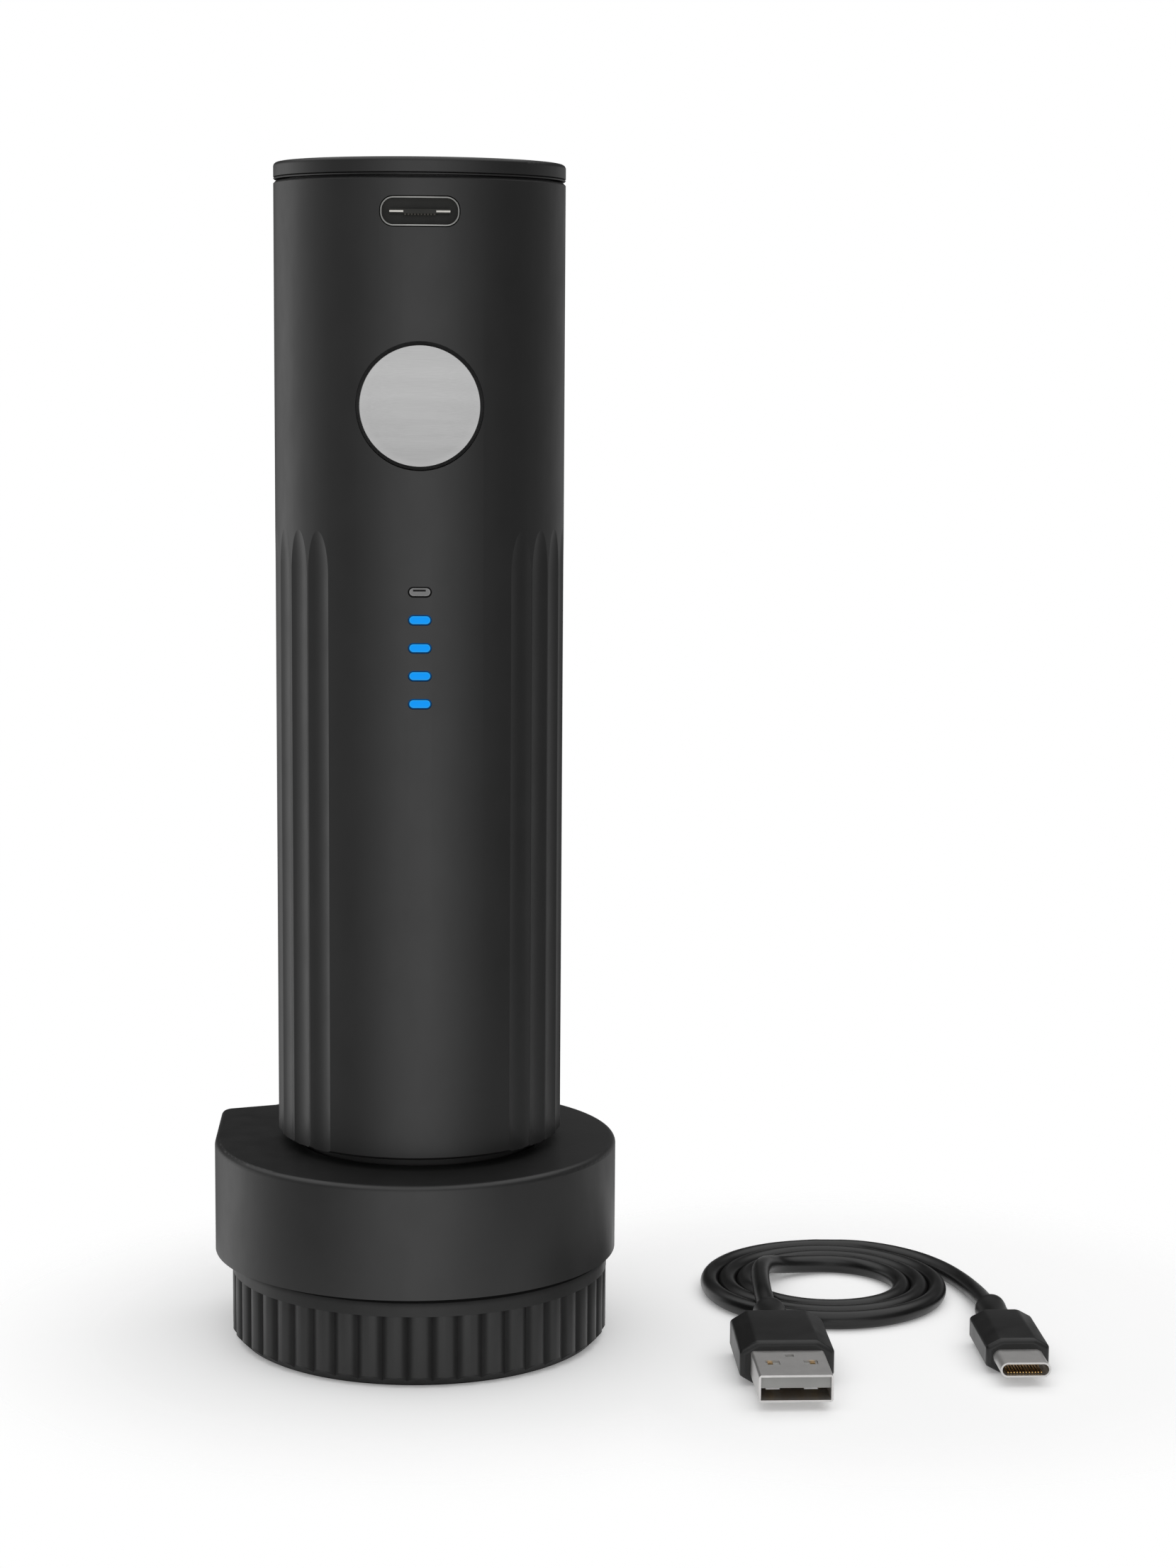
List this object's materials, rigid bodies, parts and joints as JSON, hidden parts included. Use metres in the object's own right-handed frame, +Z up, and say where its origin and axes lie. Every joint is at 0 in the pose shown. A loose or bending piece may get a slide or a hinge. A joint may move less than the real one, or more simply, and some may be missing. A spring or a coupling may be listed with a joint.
{
  "type": "electric wine opener",
  "caption": "Electric wine opener with a fluted black handle, round push button, charge lamps and port, standing in its foil-cutter base, with a coiled charging lead.",
  "frame": {"origin": "centre of the bottle recess in the face that the base stands on", "axes": "+Z up along the handle's and the worm's axis, -Y is the way the button faces, +X is to the right seen from the front, where the lead lies"},
  "size_m": [0.1392, 0.0891, 0.1978],
  "materials": {
    "black_shell": "fine matte",
    "black_ring": "fine matte, fluted",
    "inner_plastic": "moulded",
    "soft_rubber": "soft",
    "brushed_cap": "fine straight brush",
    "worm_steel": "polished",
    "steel": "machined",
    "wheel_steel": "ground edge",
    "brass": "plain",
    "plated": "bright plating",
    "lamp_blue": "translucent",
    "lamp_grey": "translucent",
    "led": "chip",
    "board_green": "solder mask",
    "cell_wrap": "shrink wrap",
    "lead_black": "smooth jacket"
  },
  "bodies": {
    "base": {"base_collar": "black_shell", "seat_pad": "soft_rubber", "retaining_plate": "inner_plastic", "plate_screws": "steel", "lead_coil": "lead_black", "lead_to_plug_a": "lead_black", "lead_to_plug_c": "lead_black", "plug_a_relief": "lead_black", "plug_a_body": "lead_black", "plug_a_shell": "plated", "plug_a_tongue": "inner_plastic", "plug_c_relief": "lead_black", "plug_c_body": "lead_black", "plug_c_shell": "plated"},
    "cutter_ring": {"cutter_ring": "black_ring", "wheel_carrier": "inner_plastic", "wheel_pins": "steel", "foot_pad": "soft_rubber"},
    "handle": {"handle_shell": "black_shell", "top_lid": "black_shell", "neck_sleeve": "inner_plastic", "nose_seal": "soft_rubber", "gear_case": "inner_plastic", "output_bush": "brass", "gear_cover": "inner_plastic", "drive_screws": "steel", "motor_screws": "steel", "motor_can": "steel", "motor_terminals": "brass", "thrust_washer": "steel", "chassis": "inner_plastic", "battery_cell": "cell_wrap", "battery_contacts": "brass", "circuit_board": "board_green", "board_screws": "steel", "switch_housing": "inner_plastic", "port_rim": "plated", "port_insert": "inner_plastic", "port_contacts": "plated", "charge_lamp": "lamp_grey", "level_lamps": "lamp_blue", "led_chips": "led"},
    "button": {"button_body": "inner_plastic", "button_cap": "brushed_cap", "switch_plunger": "inner_plastic"},
    "screw": {"worm": "worm_steel", "worm_holder": "inner_plastic", "holder_pin": "steel", "output_shaft": "steel", "planet_pins": "steel"},
    "rotor": {"motor_shaft": "steel", "sun_gear": "steel"},
    "planet_1": {"planet_gear_1": "steel"},
    "planet_2": {"planet_gear_2": "steel"},
    "planet_3": {"planet_gear_3": "steel"},
    "wheel_1": {"cutting_wheel_1": "wheel_steel"},
    "wheel_2": {"cutting_wheel_2": "wheel_steel"},
    "wheel_3": {"cutting_wheel_3": "wheel_steel"},
    "wheel_4": {"cutting_wheel_4": "wheel_steel"}
  },
  "joints": [
    {"name": "handle_lift", "type": "slide", "parent": "base", "child": "handle", "axis": [0, 0, 1], "range_m": [0, 0.06]},
    {"name": "ring_turn", "type": "hinge", "parent": "base", "child": "cutter_ring", "pos_m": [0, 0, 0.0075], "axis": [0, 0, 1], "continuous": true},
    {"name": "button_press", "type": "slide", "parent": "handle", "child": "button", "axis": [0, 1, 0], "range_m": [0, 0.0008], "stiffness_N_per_m": 800, "springref_m": -0.0004},
    {"name": "screw_spin", "type": "hinge", "parent": "handle", "child": "screw", "pos_m": [0, 0, 0.088], "axis": [0, 0, 1], "continuous": true},
    {"name": "pinion_spin", "type": "hinge", "parent": "handle", "child": "rotor", "pos_m": [0, 0, 0.101], "axis": [0, 0, 1], "continuous": true},
    {"name": "planet_1_spin", "type": "hinge", "parent": "screw", "child": "planet_1", "pos_m": [0.009, 0, 0.1005], "axis": [0, 0, 1], "continuous": true},
    {"name": "planet_2_spin", "type": "hinge", "parent": "screw", "child": "planet_2", "pos_m": [-0.0045, 0.00779, 0.1005], "axis": [0, 0, 1], "continuous": true},
    {"name": "planet_3_spin", "type": "hinge", "parent": "screw", "child": "planet_3", "pos_m": [-0.0045, -0.00779, 0.1005], "axis": [0, 0, 1], "continuous": true},
    {"name": "wheel_1_spin", "type": "hinge", "parent": "cutter_ring", "child": "wheel_1", "pos_m": [0.01358, 0.01358, 0.0061], "axis": [0, 0, 1], "continuous": true},
    {"name": "wheel_2_spin", "type": "hinge", "parent": "cutter_ring", "child": "wheel_2", "pos_m": [-0.01358, 0.01358, 0.0061], "axis": [0, 0, 1], "continuous": true},
    {"name": "wheel_3_spin", "type": "hinge", "parent": "cutter_ring", "child": "wheel_3", "pos_m": [-0.01358, -0.01358, 0.0061], "axis": [0, 0, 1], "continuous": true},
    {"name": "wheel_4_spin", "type": "hinge", "parent": "cutter_ring", "child": "wheel_4", "pos_m": [0.01358, -0.01358, 0.0061], "axis": [0, 0, 1], "continuous": true}
  ],
  "couplings": [
    {"joint": "pinion_spin", "follows": "screw_spin", "ratio": 4},
    {"joint": "planet_1_spin", "follows": "screw_spin", "ratio": -3},
    {"joint": "planet_2_spin", "follows": "screw_spin", "ratio": -3},
    {"joint": "planet_3_spin", "follows": "screw_spin", "ratio": -3}
  ]
}
